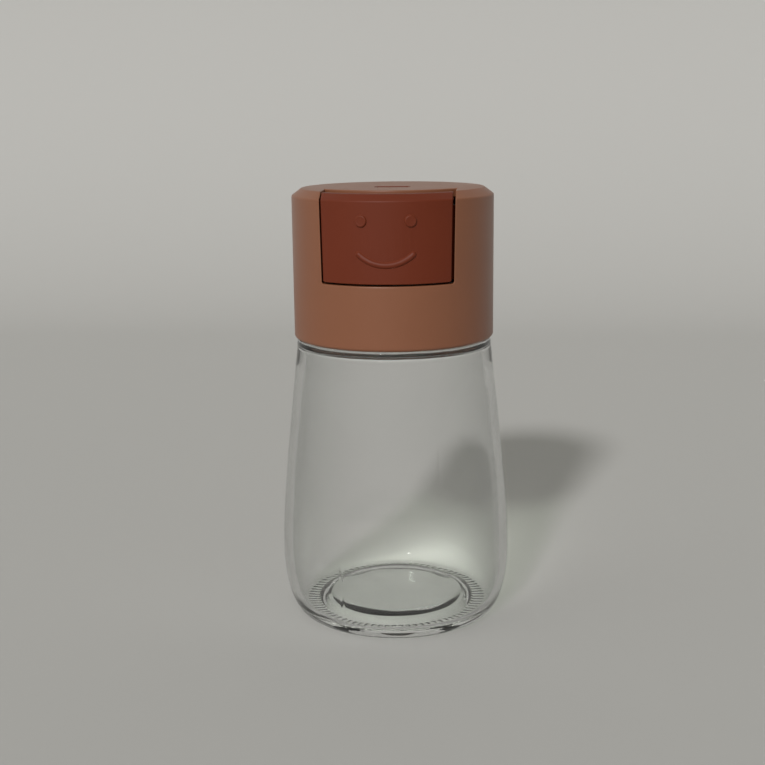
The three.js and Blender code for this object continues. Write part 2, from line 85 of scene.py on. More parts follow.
def rounded(corners, closed=True, steps=6):
    # outline through (x, y, radius) corners, each drawn as an arc of its radius
    points = []
    for i, (x, y, radius) in enumerate(corners):
        if radius == 0 or (not closed and i in (0, len(corners) - 1)):
            points.append((x, y))
            continue
        here = Vector((x, y))
        back = (Vector(corners[i - 1][:2]) - here).normalized()
        ahead = (Vector(corners[(i + 1) % len(corners)][:2]) - here).normalized()
        half = back.angle(ahead) / 2
        centre = here + (back + ahead).normalized() * radius / math.sin(half)
        first = here + back * radius / math.tan(half) - centre
        last = here + ahead * radius / math.tan(half) - centre
        turn = -first.angle_signed(last)
        points += [tuple(centre + Matrix.Rotation(turn * k / steps, 2) @ first) for k in range(steps + 1)]
    return points


def cleaned(piece):  # welds doubled points and turns every face outwards
    shape = bmesh.new()
    shape.from_mesh(piece.data)
    bmesh.ops.remove_doubles(shape, verts=shape.verts, dist=weld * mm)
    bmesh.ops.dissolve_degenerate(shape, edges=shape.edges, dist=weld * mm)
    bmesh.ops.recalc_face_normals(shape, faces=shape.faces)
    shape.to_mesh(piece.data)
    shape.free()
    return piece


def skin(name, rings, loop=False):
    # closed body through rings of points; a loop joins its last ring to the first, others get end faces
    count = len(rings[0])
    points = [Vector(p) * mm for ring in rings for p in ring]
    faces = []
    for i in range(len(rings) if loop else len(rings) - 1):
        a, b = i * count, (i + 1) % len(rings) * count
        faces += [[a + k, a + (k + 1) % count, b + (k + 1) % count, b + k] for k in range(count)]
    if not loop:
        faces += [list(range(count)), list(range(len(points) - count, len(points)))]
    mesh = bpy.data.meshes.new(name)
    mesh.from_pydata(points, [], faces)
    piece = bpy.data.objects.new(name, mesh)
    scene.collection.objects.link(piece)
    return cleaned(piece)


def turned(name, profile, steps, loop=False, relief=None, start=0):
    # spins (radius, height) points about the upright axis, from start steps past the front towards +X
    rings = []
    for row, (radius, height) in enumerate(profile):
        ring = []
        for k in range(steps):
            angle = 2 * math.pi * (k + start) / steps
            r, z = relief(row, radius, height, angle) if relief else (radius, height)
            ring.append((r * math.sin(angle), -r * math.cos(angle), z))
        rings.append(ring)
    return skin(name, rings, loop)


def prism(name, outline, start, end, along="z"):
    # an (x, y) outline raised along z, or an (x, z) outline pushed along y
    place = {"z": lambda u, v, level: (u, v, level), "y": lambda u, v, level: (u, level, v)}[along]
    return skin(name, [[place(u, v, level) for u, v in outline] for level in (start, end)])


def block(name, low, high, corner=0):
    outline = [(low[0], low[1]), (high[0], low[1]), (high[0], high[1]), (low[0], high[1])]
    return prism(name, rounded([(x, y, corner) for x, y in outline]), low[2], high[2])


def spoke(name, angle, inner, outer, width, low, high):  # straight bar pointing out from the axis
    bar = block(name, (inner, -width / 2, low), (outer, width / 2, high))
    bar.data.transform(Matrix.Rotation(math.radians(angle), 4, "Z"))
    return bar


def swept(name, path, radii, sides):
    # round section carried along a path, with its own radius at each point
    path = [Vector(p) for p in path]
    last = len(path) - 1
    ways = [(path[min(i + 1, last)] - path[max(i - 1, 0)]).normalized() for i in range(len(path))]
    side = ways[0].orthogonal().normalized()
    rings = []
    for i, (here, way) in enumerate(zip(path, ways)):
        side = ways[max(i - 1, 0)].rotation_difference(way) @ side
        lift = way.cross(side)
        turns = [2 * math.pi * k / sides for k in range(sides)]
        rings.append([here + (side * math.cos(t) + lift * math.sin(t)) * radii[i] for t in turns])
    return skin(name, rings)


def applied(piece):  # bakes the modifiers into the mesh
    bpy.context.view_layer.update()
    made = piece.evaluated_get(bpy.context.evaluated_depsgraph_get())
    mesh = bpy.data.meshes.new_from_object(made)
    piece.modifiers.clear()
    old, piece.data = piece.data, mesh
    bpy.data.meshes.remove(old)
    mesh.name = piece.name
    return piece


def combined(piece, operation, *others):
    for other in others:
        step = piece.modifiers.new(operation, "BOOLEAN")
        step.operation, step.solver, step.object = operation, "EXACT", other
        applied(piece)
        bpy.data.objects.remove(other)
    return cleaned(piece)


def softened(piece, width, where=None, segments=3):  # rounds the outside edges, or those that where() takes
    shape = bmesh.new()
    shape.from_mesh(piece.data)
    # flat faces become one first, so that no edge inside them gets in the way of a round
    bmesh.ops.dissolve_limit(shape, angle_limit=math.radians(flatWithin), verts=shape.verts, edges=shape.edges)
    edges = [e for e in shape.edges
             if e.is_manifold and e.is_convex and e.calc_face_angle() > math.radians(roundFrom)]
    if where:
        edges = [e for e in edges if where((e.verts[0].co + e.verts[1].co) / 2 / mm)]
    bmesh.ops.bevel(shape, geom=edges, offset=width * mm, offset_type="OFFSET", segments=segments,
                    profile=0.5, affect="EDGES", clamp_overlap=False, loop_slide=False, miter_outer="ARC")
    shape.to_mesh(piece.data)
    shape.free()
    return cleaned(piece)


def finished(piece, material, node, body, sharp=32):
    piece.data.materials.clear()
    piece.data.materials.append(material)
    piece.data.shade_smooth()
    piece.data.set_sharp_from_angle(angle=math.radians(sharp))
    even = piece.modifiers.new("even", "WEIGHTED_NORMAL")  # keeps flat faces flat beside their rounds
    even.keep_sharp = True
    applied(piece)
    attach(piece, body)
    if node:
        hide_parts(node)
    print(piece.name, "made,", len(piece.data.polygons), "faces")
    return piece


def linear(colour):  # sRGB hex to the linear values that shaders take
    parts = [int(colour[i:i + 2], 16) / 255 for i in (1, 3, 5)]
    return [c / 12.92 if c <= 0.04045 else ((c + 0.055) / 1.055) ** 2.4 for c in parts] + [1]


def addNode(tree, kind, inputs, **settings):  # inputs hold plain values or the sockets that feed them
    made = tree.nodes.new("ShaderNode" + kind)
    for key, value in settings.items():
        setattr(made, key, value)
    for key, value in inputs.items():
        if isinstance(value, bpy.types.NodeSocket):
            tree.links.new(value, made.inputs[key])
        else:
            made.inputs[key].default_value = value
    return made


def newMaterial(name):  # an empty material, its nodes and the place on the object that patterns follow
    material = bpy.data.materials.new(name)
    material.use_nodes = True
    tree = material.node_tree
    tree.nodes.clear()
    return material, tree, addNode(tree, "TexCoord", {}).outputs["Object"]


def mouldedPlastic(name, look):
    # thermoplastic from a spark-eroded mould: matt with a fine even grain, slow flow marks in the
    # colour, and edges painted a little paler, partly wear from handling and partly a painted highlight
    material, tree, place = newMaterial(name)
    flow = addNode(tree, "TexNoise", {"Vector": place, "Scale": 1 / (look["flowSize"] * mm), "Detail": 4})
    grain = addNode(tree, "TexNoise", {"Vector": place, "Scale": 1 / (look["grainSize"] * mm), "Detail": 2})
    colour = addNode(tree, "Mix", {0: flow.outputs["Fac"], 6: linear(look["dark"]), 7: linear(look["light"])},
                     data_type="RGBA")
    # painted highlight and wear: paler along edges, where the rounded normal leaves the surface's own
    rounder = addNode(tree, "Bevel", {"Radius": look["wearAndHighlightWidth"] * mm}, samples=4)
    surface = addNode(tree, "NewGeometry", {})
    bend = addNode(tree, "VectorMath", {0: rounder.outputs["Normal"], 1: surface.outputs["Normal"]},
                   operation="DOT_PRODUCT")
    wearAndHighlight = addNode(tree, "MapRange", {"Value": bend.outputs["Value"], "From Min": 0.99, "From Max": 0.85,
                                     "To Min": 0, "To Max": look["wearAndHighlight"]})
    wornAndHighlit = addNode(tree, "Mix", {0: wearAndHighlight.outputs["Result"], 6: colour.outputs[2], 7: linear(look["wornAndHighlitColour"])},
                   data_type="RGBA")
    sheen = addNode(tree, "MapRange", {"Value": flow.outputs["Fac"], "From Min": 0.3, "From Max": 0.7,
                                       "To Min": look["rough"][0], "To Max": look["rough"][1]})
    bump = addNode(tree, "Bump", {"Height": grain.outputs["Fac"], "Strength": look["grain"],
                                  "Distance": look["grainDepth"] * mm})
    plastic = addNode(tree, "BsdfPrincipled", {
        "Base Color": wornAndHighlit.outputs[2], "Roughness": sheen.outputs["Result"], "IOR": look["ior"],
        "Specular IOR Level": look["specular"], "Normal": bump.outputs["Normal"]})
    addNode(tree, "OutputMaterial", {"Surface": plastic.outputs["BSDF"]})
    return material


def pressedFlintGlass(look):
    # soda-lime flint glass, pressed and fire polished: clear and bright, with painted shade that greys it where a
    # look grazes the wall, partly for the long way through it, and slow waves left by the mould that bend what is
    # seen through it
    material, tree, place = newMaterial("pressedFlintGlass")
    wave = addNode(tree, "TexNoise", {"Vector": place, "Scale": 1 / (look["waveSize"] * mm), "Detail": 1})
    bump = addNode(tree, "Bump", {"Height": wave.outputs["Fac"], "Strength": 1,
                                  "Distance": look["waveDepth"] * mm})
    grazeShade = addNode(tree, "LayerWeight", {"Blend": look["grazeShadeWidth"]})
    # painted shade: greyer where the look grazes the wall, partly for the long way through it
    tint = addNode(tree, "Mix", {0: grazeShade.outputs["Facing"], 6: linear(look["tint"]), 7: linear(look["edge"])},
                   data_type="RGBA")
    glass = addNode(tree, "BsdfPrincipled", {
        "Base Color": tint.outputs[2], "Roughness": look["rough"], "IOR": 1.52,
        "Transmission Weight": 1, "Normal": bump.outputs["Normal"]})
    # lets the lamp light the floor behind
    clear = addNode(tree, "BsdfTransparent", {"Color": linear(look["shade"])})
    ray = addNode(tree, "LightPath", {})
    mixed = addNode(tree, "MixShader", {0: ray.outputs["Is Shadow Ray"], 1: glass.outputs["BSDF"],
                                        2: clear.outputs["BSDF"]})
    addNode(tree, "OutputMaterial", {"Surface": mixed.outputs["Shader"]})
    return material


def castSilicone(look):
    # food silicone cast in a closed mould: milky, soft edged and dull, with a little dust on it
    material, tree, place = newMaterial("castSilicone")
    dust = addNode(tree, "TexNoise", {"Vector": place, "Scale": 1 / (look["dustSize"] * mm), "Detail": 3})
    colour = addNode(tree, "Mix", {0: dust.outputs["Fac"], 6: linear(look["dark"]), 7: linear(look["light"])},
                     data_type="RGBA")
    bump = addNode(tree, "Bump", {"Height": dust.outputs["Fac"], "Strength": 0.3,
                                  "Distance": look["dustDepth"] * mm})
    rubber = addNode(tree, "BsdfPrincipled", {
        "Base Color": colour.outputs[2], "Roughness": look["rough"], "IOR": 1.41,
        "Subsurface Weight": look["milk"], "Subsurface Scale": look["depth"] * mm,
        "Normal": bump.outputs["Normal"]})
    addNode(tree, "OutputMaterial", {"Surface": rubber.outputs["BSDF"]})
    return material


def drawnSpringSteel(look):
    # cold-drawn stainless wire: bright grey, dulled unevenly by fine draw marks
    material, tree, place = newMaterial("drawnSpringSteel")
    marks = addNode(tree, "TexNoise", {"Vector": place, "Scale": 1 / (look["markSize"] * mm), "Detail": 2})
    rough = addNode(tree, "MapRange", {"Value": marks.outputs["Fac"], "From Min": 0.3, "From Max": 0.7,
                                       "To Min": look["rough"][0], "To Max": look["rough"][1]})
    steel = addNode(tree, "BsdfPrincipled", {"Base Color": linear(look["colour"]), "Metallic": 1,
                                             "Roughness": rough.outputs["Result"]})
    addNode(tree, "OutputMaterial", {"Surface": steel.outputs["BSDF"]})
    return material


# edge is painted shade on the glass's grazing rim, partly for its long way through the wall
glassFinish = pressedFlintGlass({
    "tint": "#FFFFFF", "edge": "#8B938D", "grazeShadeWidth": 0.22, "shade": "#EBEEEA", "rough": 0,
    "waveSize": 14, "waveDepth": 0.06})
# the plastics' real grain is about 0.1 mm, drawn coarser to show
# each plastic's paler edge colour is partly wear and partly a painted highlight
terracottaAbs = mouldedPlastic("terracottaAbsMoulded", {
    "dark": "#82523A", "light": "#8A573C", "wornAndHighlitColour": "#A06C50", "wearAndHighlight": 0.35, "wearAndHighlightWidth": 0.5,
    "flowSize": 22, "grainSize": 0.45, "grain": 0.35, "grainDepth": 0.02,
    "rough": (0.33, 0.41), "ior": 1.5, "specular": 0.5})
rustAbs = mouldedPlastic("rustAbsMoulded", {
    "dark": "#672914", "light": "#6D2C15", "wornAndHighlitColour": "#8A4529", "wearAndHighlight": 0.4, "wearAndHighlightWidth": 0.5,
    "flowSize": 20, "grainSize": 0.45, "grain": 0.35, "grainDepth": 0.02,
    "rough": (0.46, 0.56), "ior": 1.5, "specular": 0.25})
naturalPolypropylene = mouldedPlastic("naturalPolypropyleneMoulded", {
    "dark": "#D2CDC2", "light": "#DEDAD1", "wornAndHighlitColour": "#E8E5DE", "wearAndHighlight": 0.3, "wearAndHighlightWidth": 0.4,
    "flowSize": 12, "grainSize": 0.5, "grain": 0.25, "grainDepth": 0.015,
    "rough": (0.36, 0.46), "ior": 1.49, "specular": 0.5})
siliconeFinish = castSilicone({
    "dark": "#C4C2BA", "light": "#D2D0C9", "rough": 0.55, "milk": 0.4, "depth": 2,
    "dustSize": 0.6, "dustDepth": 0.02})
springSteel = drawnSpringSteel({"colour": "#B9BBBE", "rough": (0.2, 0.38), "markSize": 0.25})
print("materials made")

jarHigh = boxOf("glass_jar")[1]
collarHigh = boxOf("screw_collar")[1]
capLow, capHigh = boxOf("cap_shell")
gasketLow, gasketHigh = boxOf("mouth_gasket")
hopperLow, hopperHigh = boxOf("hopper")
buttonLow, buttonHigh = boxOf("press_button")
shuttleLow, shuttleHigh = boxOf("metering_shuttle")
springs = {"return_spring_left": "springLeft", "return_spring_right": "springRight"}

# two-start thread: the neck's ridges and the collar's run on the same helix, half a pitch apart
thread = {"starts": 2, "lead": 7.5, "relief": 1.2, "foot": 2.2, "crest": 1.0, "fade": 0.06, "startTurn": 0.25,
          "neckTurns": 0.8, "neckLevel": 84.2, "collarTurns": 0.5, "collarDelay": 0.3}


def held(value):  # kept between 0 and 1
    return min(1, max(0, value))


def threadRelief(angle, height, turns, level, delay):  # how far a ridge stands out at this point
    best = 0
    for start in range(thread["starts"]):
        turn = (angle / (2 * math.pi) - thread["startTurn"] - start / thread["starts"] - delay) % 1
        if turn > turns:
            continue
        ends = min(1, turn / thread["fade"], (turns - turn) / thread["fade"])
        away = abs(height - level - thread["lead"] * (turn + delay))
        slope = (thread["foot"] - thread["crest"]) / 2
        t = held((away - thread["crest"] / 2) / slope)
        best = max(best, thread["relief"] * ends * (1 - t * t * (3 - 2 * t)))
    return best


# the spice's way: the inlet lies in front of the axis and the outlet on it
passage = {"size": (10, 5), "corner": 0.9, "inletY": -7, "outletY": 0}
wiper = {"corner": 1, "gap": 0.1, "round": 0.15}


def passageCut(name, y, low, high):
    half, depth = (size / 2 for size in passage["size"])
    return block(name, (-half, y - depth, low), (half, y + depth, high), passage["corner"])


def wiperRecess(node, floor, roof):  # room for a wiper between two levels
    low, high = boxOf(node)
    gap = wiper["gap"]
    return block("wiperRecess", (low.x - gap, low.y - gap, floor), (high.x + gap, high.y + gap, roof),
                 wiper["corner"])


jar = {
    "steps": 480,  # six to each bar of the foot's knurling
    "roundRows": 6, "ringRows": 6, "heelRows": 18, "sideRows": 24, "threadRow": 0.5,
    "footRadius": 26.2, "footWidth": 3.5, "ringLip": (0.7, 0.45), "ringRound": 0.35, "ringInset": 0.3,
    "knurlBars": 80, "knurlDepth": 0.35, "knurlBelow": 0.3, "knurlPast": 0.4, "knurlSlope": 3,
    "puntRadius": 19.2, "puntRing": 5, "puntDepth": 2.8, "puntStep": 0.35, "puntRound": 0.5,
    # mould seams, one at the back and one opposite, drawn twice their real width
    "seamAngle": 156.75, "seamRise": 0.07, "seamEnds": 1,
    # height and spacing of the mould's waves, and where each of them fades
    "innerWave": (0.1, 16), "innerFade": (4, 10), "floorWave": (0.22, 8), "floorFade": (8, 4),
    "shoulderWave": (0.07, 5), "shoulderFade": (0.1, 6, 3),
    "bellyHeight": 18, "bellyHandle": 18, "taperHandle": 20.3, "taperSpread": 1.9,
    "shoulderHeight": 80.35, "shoulderRadius": 27.3, "shoulderRound": 1,
    "neckRadius": gasketHigh.x, "neckFillet": 1.2, "rimRound": 1, "mouthRadius": 19.2,
    "wall": 2.4, "floor": 3.4, "domeRise": 1.7, "domeRound": 8, "domeRings": (0.8, 0.6, 0.4, 0.2),
    "innerShoulder": 79.25, "innerNeckRound": 1.2, "innerRound": 2.2, "innerLean": (0.1, 0.3), "innerDrop": 6,
}


def jarProfile():  # (radius, height) points of the outside, from the punt to the mouth, and of the inside
    belly, rim, bellyLevel = jarHigh.x, jarHigh.z, jar["bellyHeight"]
    foot, neck, mouth = jar["footRadius"], jar["neckRadius"], jar["mouthRadius"]
    shoulder, top = jar["shoulderRadius"], jar["shoulderHeight"]
    taperTop, neckFoot, rimFoot = top - jar["shoulderRound"], top + jar["neckFillet"], rim - jar["rimRound"]
    ringInner = foot - jar["footWidth"]
    punt, depth, step, soft = jar["puntRadius"], jar["puntDepth"], jar["puntStep"], jar["puntRound"]
    lipRun, lipRise = jar["ringLip"]
    base = rounded([
        (punt - jar["puntRing"], depth, 0), (punt - step, depth, soft), (punt + step, depth - step, soft),
        (ringInner - lipRun, lipRise, soft), (ringInner, 0, jar["ringRound"]), (foot, 0, 0)], closed=False)
    inset, count = jar["ringInset"], jar["ringRows"]
    ring = [(ringInner + inset + (jar["footWidth"] - inset) * i / count, 0) for i in range(1, count)]
    count = jar["heelRows"]
    heel = [(foot + (belly - foot) * math.cos(a), bellyLevel * (1 + math.sin(a)))
            for a in [math.radians(-90 + 90 * i / count) for i in range(count + 1)]]
    side = bezier((belly, bellyLevel), (belly, bellyLevel + jar["bellyHandle"]),
                  (shoulder + jar["taperSpread"], taperTop - jar["taperHandle"]), (shoulder, taperTop),
                  jar["sideRows"])
    edge = arc(shoulder - jar["shoulderRound"], taperTop, jar["shoulderRound"], 0, 90, jar["roundRows"])
    fillet = arc(neck + jar["neckFillet"], neckFoot, jar["neckFillet"], 270, 180, jar["roundRows"])
    rows = int((rimFoot - neckFoot) / jar["threadRow"])
    throat = [(neck, neckFoot + (rimFoot - neckFoot) * i / rows) for i in range(1, rows)]
    lip = arc(neck - jar["rimRound"], rimFoot, jar["rimRound"], 0, 90, jar["roundRows"])
    lip += arc(mouth + jar["rimRound"], rimFoot, jar["rimRound"], 90, 180, jar["roundRows"])
    outside = base[:-1] + ring + heel + side[1:] + edge[1:] + fillet + throat + lip

    wall, floor = jar["wall"], jar["floor"]
    leanTop, leanFoot = (shoulder - wall + lean for lean in jar["innerLean"])
    innerTop, innerFoot = jar["innerShoulder"], taperTop - jar["innerDrop"]
    inside = rounded([
        (mouth, neckFoot, 0), (mouth, innerTop, jar["innerNeckRound"]), (leanTop, innerTop, jar["innerRound"]),
        (leanFoot, innerFoot, 0)], closed=False)
    inside += bezier((leanFoot, innerFoot), (shoulder + jar["taperSpread"] - wall, taperTop - jar["taperHandle"]),
                     (belly - wall, bellyLevel + jar["bellyHandle"]), (belly - wall, bellyLevel),
                     jar["sideRows"])[1:]
    inside += [(foot + (belly - wall - foot) * math.cos(a), bellyLevel + (bellyLevel - floor) * math.sin(a))
               for a in [math.radians(-90 * i / count) for i in range(1, count + 1)]]
    dome = floor + jar["domeRise"]
    inside += rounded([(foot, floor, 0), (ringInner, floor, jar["domeRound"]), (punt, dome, jar["domeRound"])]
                      + [(punt * share, dome, 0) for share in jar["domeRings"]], closed=False)[1:]
    return outside, inside


jarOuter, jarInner = jarProfile()


def jarRelief(row, radius, height, angle):
    spot = Vector((radius * math.sin(angle), -radius * math.cos(angle), height))
    shoulder = jar["shoulderHeight"]
    if row >= len(jarOuter):  # slow waves inside, none at the mouth
        rise, spacing = jar["innerWave"]
        drop, length = jar["innerFade"]
        fade = held((shoulder - drop - height) / length)
        radius += rise * fade * noise.noise(spot / spacing) * min(1, radius / jar["puntRadius"])
        rise, spacing = jar["floorWave"]
        top, length = jar["floorFade"]
        height += rise * held((top - height) / length) * noise.noise(spot / spacing)
        return radius, height
    if height > shoulder + jar["neckFillet"] and radius > jar["neckRadius"] - near:
        radius += threadRelief(angle, height, thread["neckTurns"], thread["neckLevel"], 0)
    half = jar["footWidth"] / 2
    reach = 1 - abs(radius - (jar["footRadius"] - half)) / (half + jar["knurlPast"])
    if height < jar["knurlBelow"] and reach > 0:  # short bars round the foot ring
        bars = (1 - math.cos(jar["knurlBars"] * angle)) / 2
        height += jar["knurlDepth"] * min(1, reach * jar["knurlSlope"]) * bars
    rise, spacing = jar["shoulderWave"]
    least, most, length = jar["shoulderFade"]
    below = shoulder - height
    if least < below < most:
        radius += rise * min(1, below, (most - below) / length) * noise.noise(spot / spacing)
    pastSeam = (math.degrees(angle) - jar["seamAngle"]) % 180
    onSeam = min(pastSeam, 180 - pastSeam) < 90 / jar["steps"]  # less than a quarter of a step away
    if onSeam and jar["seamEnds"] < height < shoulder - jar["seamEnds"]:
        radius += jar["seamRise"]
    return radius, height


glassJar = turned("jarGlass", jarOuter + jarInner, jar["steps"], relief=jarRelief)
finished(glassJar, glassFinish, "glass_jar", "jar", sharp=70)

gasket = {"round": 0.45, "topRound": 0.3, "bead": 0.18, "beadHalf": 0.5, "beadRound": 0.2, "steps": 120}


def gasketRing():  # flat ring with one sealing bead on top
    inner, outer, low, high = jar["mouthRadius"], gasketHigh.x, gasketLow.z, gasketHigh.z
    middle, flat = (inner + outer) / 2, high - gasket["bead"]
    half, small = gasket["beadHalf"], gasket["beadRound"]
    outline = rounded([
        (inner, low, gasket["round"]), (outer, low, gasket["round"]), (outer, flat, gasket["topRound"]),
        (middle + half, flat, small), (middle, high, small), (middle - half, flat, small),
        (inner, flat, gasket["topRound"])])
    return turned("gasketRing", outline, gasket["steps"], loop=True)


finished(gasketRing(), siliconeFinish, "mouth_gasket", "seal")

shell = {
    "bore": 26, "roof": 2.2, "roofRing": 8, "roofRound": 0.8, "chamferRun": 2.7, "chamferDrop": 2,
    "rimRound": 1, "innerRound": 0.4,
    "grooveLow": 83.0, "grooveHigh": 84.4, "grooveDepth": 0.65, "grooveLead": 0.4,
    # edges get a round outside roundPast, and on the roof clear of the outlet
    "cutRound": 0.3, "roundPast": 1.2, "roofBand": 0.1, "outletClear": 1,
    "steps": 92,  # from half a step on, no upright edge comes close to the window's sides, which are rounded
    "ribAngles": (-8, 28, 64, 116, 152, 188), "ribWidth": 1.6, "ribHeight": 7, "ribRise": 1.7, "ribRoot": 0.6,
    "keyAngles": (45, 135, 225, 315), "keyWidth": 2.9, "keyDepth": 0.9, "keyTop": 95.3,
}
window = {
    "halfTop": 17.95, "halfFoot": 17.53, "foot": 97.9, "corner": 0.6, "cornerSteps": 10,
    "gaps": (0.4, 0.7, 0.5),  # left, right and below the button
    "lipBore": 23.4, "lipSteps": 48, "notchShift": 7.4, "notchCorner": 0.8, "notchSteps": 6,
}


def windowBlock(corner, left=0, right=0, below=0):
    # the front opening as a solid, less the gaps, from in front of the cap back to its axis
    halfTop, halfFoot = window["halfTop"], window["halfFoot"]
    top, foot = capHigh.z + over, window["foot"] + below
    outline = rounded([
        (left - halfTop, top, 0), (left - halfFoot, foot, corner), (halfFoot - right, foot, corner),
        (halfTop - right, top, 0)], steps=window["cornerSteps"])
    return prism("windowBlock", outline, capLow.y - over, 0, "y")


def notchBlock():  # how far back the roof is cut: the lip's own curve, moved by the button's travel
    half, corner, steps = window["halfTop"] + over, window["notchCorner"], window["notchSteps"]
    x = half - corner
    y = window["notchShift"] - math.sqrt((window["lipBore"] + corner) ** 2 - x * x)
    lean = math.degrees(math.atan2(window["notchShift"] - y, x))
    outline = [(-half, capLow.y - over), (half, capLow.y - over)] + arc(x, y, corner, 0, 180 - lean, steps)
    outline += arc(0, window["notchShift"], window["lipBore"], -lean, lean - 180, window["lipSteps"])
    outline += arc(-x, y, corner, lean, 180, steps)
    return prism("notchBlock", outline, window["foot"] - 2 * over, capHigh.z + 2 * over)


def capShell():
    radius, bore, top = capHigh.x, shell["bore"], capHigh.z
    roof, ring, groove = top - shell["roof"], bore - shell["roofRing"], bore + shell["grooveDepth"]
    profile = rounded([
        (ring, roof, 0), (bore, roof, shell["roofRound"]), (bore, shell["grooveHigh"], 0),
        (groove, shell["grooveHigh"], 0), (groove, shell["grooveLow"], 0),
        (bore, shell["grooveLow"] - shell["grooveLead"], 0), (bore, capLow.z, shell["innerRound"]),
        (radius, capLow.z, shell["rimRound"]), (radius, top - shell["chamferDrop"], 0),
        (radius - shell["chamferRun"], top, 0), (ring, top, 0)], closed=False)
    piece = turned("capShellMoulding", profile, shell["steps"], start=0.5)
    opening = combined(windowBlock(window["corner"]), "INTERSECT", notchBlock())
    outlet = passageCut("outletCut", passage["outletY"], roof - over, top + over)
    combined(piece, "DIFFERENCE", opening, outlet)
    recess = wiperRecess("outlet_wiper", roof - over, boxOf("outlet_wiper")[1].z + wiper["gap"])
    slots = [spoke("keySlot", a, bore - over, bore + shell["keyDepth"], shell["keyWidth"],
                   capLow.z - over, shell["keyTop"]) for a in shell["keyAngles"]]
    combined(piece, "DIFFERENCE", recess, *slots)
    ribFoot = hopperLow.z + shell["ribRise"]
    ribs = [spoke("stopRib", a, bore - shell["ribWidth"], bore + shell["ribRoot"], shell["ribWidth"],
                  ribFoot, ribFoot + shell["ribHeight"]) for a in shell["ribAngles"]]
    combined(piece, "UNION", *ribs)
    past, band = bore + shell["roundPast"], top - shell["roofBand"]
    clear = passage["size"][0] / 2 + shell["outletClear"]
    return softened(piece, shell["cutRound"],
                    lambda p: p.xy.length > past or (p.z > band and p.xy.length > clear))


finished(capShell(), terracottaAbs, "cap_shell", "cap")

# painted shade: a dark sleeve in the outlet slot
shadeSleeve = {"wall": 0.6, "below": 0.03, "rise": 0.8, "fit": 0.02, "boreCorner": 0.5, "round": 0.12}


def outletShadeSleeve():  # rust sleeve pressed into the outlet slot: painted shade, a dark sleeve that makes the slot read dark, and narrows it
    width, depth = (size / 2 - shadeSleeve["fit"] for size in passage["size"])
    low, high = capHigh.z - shell["roof"] + shadeSleeve["rise"], capHigh.z - shadeSleeve["below"]
    piece = block("outletShadeSleeve", (-width, -depth, low), (width, depth, high), passage["corner"])
    width, depth = width - shadeSleeve["wall"], depth - shadeSleeve["wall"]
    combined(piece, "DIFFERENCE", block("outletBore", (-width, -depth, low - over), (width, depth, high + over),
                                        shadeSleeve["boreCorner"]))
    return softened(piece, shadeSleeve["round"], segments=2)


finished(outletShadeSleeve(), rustAbs, None, "cap")

button = {
    "radius": 27.8, "bore": 25.6, "chamferDrop": 1.7, "corner": 0.5, "steps": 81, "sink": 0.4,
    # edges get a round past the bore or above the ledge
    "cutRound": 0.28, "roundPast": 0.3, "roundAbove": 0.1,
    "ledge": (117.8, 119.4), "ledgeHalf": 17.2, "ledgeFront": 24.6, "ledgeRear": -10.6, "ledgeSteps": 24,
    "wingFrom": 9.4, "hook": (24.0, 25.75), "hookFrom": 15.05, "hookTop": 118.3, "hookSteps": 6,
    "socketLow": (-6.9, -26.1, 110.4), "socketHigh": (6.9, -18.8, 118.3),
    "tongueSlotLow": (-6.3, -24.5, 112.0), "tongueSlotHigh": (6.3, -22.2, 116.6), "tongueMouth": 5.3,
}
smile = {
    "arcRadius": 10.5, "halfAngle": 48, "lowest": 18.6, "bead": 0.95, "tip": 0.08, "sunk": 0.4,
    "steps": 48, "sides": 16,
    "eyeApart": 6.45, "eyeDrop": 7.1, "eyeRadius": 1.6, "eyeRise": 0.55, "eyeEdge": 0.4, "eyeDish": 0.05,
    "eyeCurl": 110, "eyeRows": 8, "eyeRings": (0.55, 0.4, 0.2), "eyeSteps": 40,
}


def faceAt(x, z, lift=0):  # point on the button's round front, or a little out from it
    angle = math.asin(x / button["radius"])
    reach = button["radius"] + lift
    return Vector((reach * math.sin(angle), -reach * math.cos(angle), z))


def smileCurve():  # half-round bead with domed ends
    half = math.radians(smile["halfAngle"])
    low = capHigh.z - smile["lowest"]
    path, radii = [], []
    endShare = smile["bead"] / (smile["arcRadius"] * half)
    for i in range(smile["steps"] + 1):
        t = math.sin(math.pi * (i / smile["steps"] - 0.5))  # points gather towards the ends
        a = half * t
        rise = low + smile["arcRadius"] * (1 - math.cos(a))
        path.append(faceAt(smile["arcRadius"] * math.sin(a), rise, -smile["sunk"]))
        inEnd = max(0, 1 - (1 - abs(t)) / endShare)
        radii.append(smile["bead"] * max(smile["tip"], math.sqrt(1 - inEnd ** 2)))
    return swept("smileCurve", path, radii, smile["sides"])


def smileEye(side):  # low button with a rounded rim and a shallow dish
    rise, radius, edge = smile["eyeRise"], smile["eyeRadius"], smile["eyeEdge"]
    profile = [(radius, -over), (radius, rise - edge)]
    profile += arc(radius - edge, rise - edge, edge, 0, smile["eyeCurl"], smile["eyeRows"])[1:]
    profile += [(radius * share, rise - smile["eyeDish"] * (1 - share * share)) for share in smile["eyeRings"]]
    eye = turned("smileEye", profile, smile["eyeSteps"])
    spot = faceAt(side * smile["eyeApart"], capHigh.z - smile["eyeDrop"])
    out = Vector((spot.x, spot.y, 0)).to_track_quat("Z", "Y").to_matrix().to_4x4()
    eye.data.transform(Matrix.Translation(spot * mm) @ out)
    return eye


def hookOutline(side):  # curved bar behind the shell, beside the window
    inner, outer = button["hook"]
    ends = [button["hookFrom"], buttonHigh.x]
    outline = []
    for r, xs in ((outer, ends), (inner, ends[::-1])):
        first, last = (math.degrees(math.asin(x / r)) for x in xs)
        outline += arc(0, 0, r, frontAngle + side * first, frontAngle + side * last, button["hookSteps"])
    return outline


